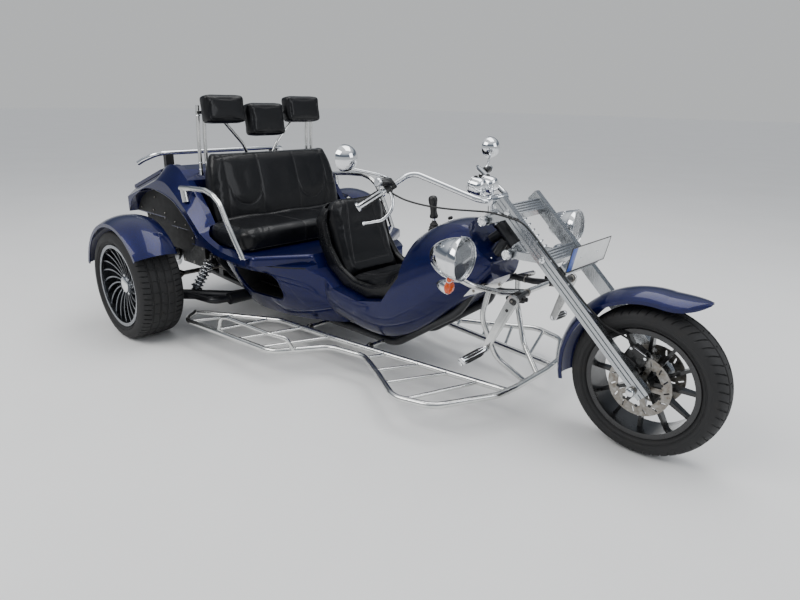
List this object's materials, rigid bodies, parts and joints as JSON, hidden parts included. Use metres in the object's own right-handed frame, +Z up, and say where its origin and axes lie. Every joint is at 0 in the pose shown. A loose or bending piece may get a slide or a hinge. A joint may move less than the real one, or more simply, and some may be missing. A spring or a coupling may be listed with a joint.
{
  "type": "motorized trike",
  "caption": "Three-wheeled motor vehicle with a raked girder fork, a driver's bucket seat, a rear bench and chrome foot boards.",
  "frame": {"origin": "on the ground below the middle of the length, on the centre plane", "axes": "+X forward, +Y left, +Z up"},
  "size_m": [3.662, 1.98, 1.3933],
  "materials": {
    "blue_paint": "metallic gloss",
    "chrome": "polished",
    "polished_tube": "polished stainless",
    "fork_metal": "brushed",
    "alloy": "satin",
    "black_alloy": "gloss black",
    "steel": "ground",
    "frame_metal": "satin black",
    "black_metal": "satin black",
    "engine_metal": "cast",
    "tyre": "matt",
    "rubber": "satin",
    "black_plastic": "satin",
    "black_leather": "satin",
    "plate_white": "gloss",
    "lamp_glass": "clear",
    "amber_glass": "clear amber",
    "red_glass": "clear red"
  },
  "bodies": {
    "front_wheel": {"front_rim": "black_alloy", "front_tyre": "tyre", "front_discs": "steel"},
    "rear_right_wheel": {"rear_right_rim": "alloy", "rear_right_tyre": "tyre", "rear_right_shaft": "steel"},
    "rear_left_wheel": {"rear_left_rim": "alloy", "rear_left_tyre": "tyre", "rear_left_shaft": "steel"},
    "steering": {"fork_legs": "fork_metal", "fork_bars": "fork_metal", "fork_yokes": "fork_metal", "front_spring": "chrome", "handlebar": "chrome", "grips": "rubber", "hand_levers": "chrome", "mirrors": "chrome", "gauges": "chrome", "front_fender": "blue_paint", "front_axle": "steel", "front_caliper": "black_metal", "brake_hose": "rubber", "number_plate": "plate_white"},
    "lid": {"boot_lid": "blue_paint", "lid_rack": "chrome", "rack_posts": "black_plastic"},
    "chassis": {"main_frame": "frame_metal", "body_tub": "blue_paint", "body_rear": "blue_paint", "rear_fenders": "blue_paint", "swing_arms": "frame_metal", "rear_shocks": "frame_metal", "running_board_right": "polished_tube", "running_board_left": "polished_tube", "engine_block": "engine_metal", "gearbox": "engine_metal", "exhaust": "chrome", "driver_shell": "black_leather", "driver_cushion": "black_leather", "driver_back": "black_leather", "bench_cushion": "black_leather", "bench_back": "black_leather", "headrests": "black_leather", "headrest_frame": "polished_tube", "armrests": "polished_tube", "board_struts": "polished_tube", "pedals": "polished_tube", "headlight_bar": "polished_tube", "headlights": "chrome", "headlight_lenses": "lamp_glass", "turn_signals": "amber_glass", "gear_lever": "rubber", "tail_lights": "red_glass"}
  },
  "joints": [
    {"name": "steer", "type": "hinge", "parent": "chassis", "child": "steering", "pos_m": [0.80605, 0, 0.80209], "axis": [-0.7314, 0, 0.682], "range_deg": [-30, 30]},
    {"name": "front_wheel_spin", "type": "hinge", "parent": "steering", "child": "front_wheel", "pos_m": [1.515, 0, 0.316], "axis": [0, 1, 0], "continuous": true},
    {"name": "rear_right_wheel_spin", "type": "hinge", "parent": "chassis", "child": "rear_right_wheel", "pos_m": [-1.2, -0.853, 0.322], "axis": [0, 1, 0], "continuous": true},
    {"name": "rear_left_wheel_spin", "type": "hinge", "parent": "chassis", "child": "rear_left_wheel", "pos_m": [-1.2, 0.853, 0.322], "axis": [0, 1, 0], "continuous": true},
    {"name": "lid_hinge", "type": "hinge", "parent": "chassis", "child": "lid", "pos_m": [-1.396, 0, 0.936], "axis": [0, 1, 0], "range_deg": [0, 50]}
  ]
}
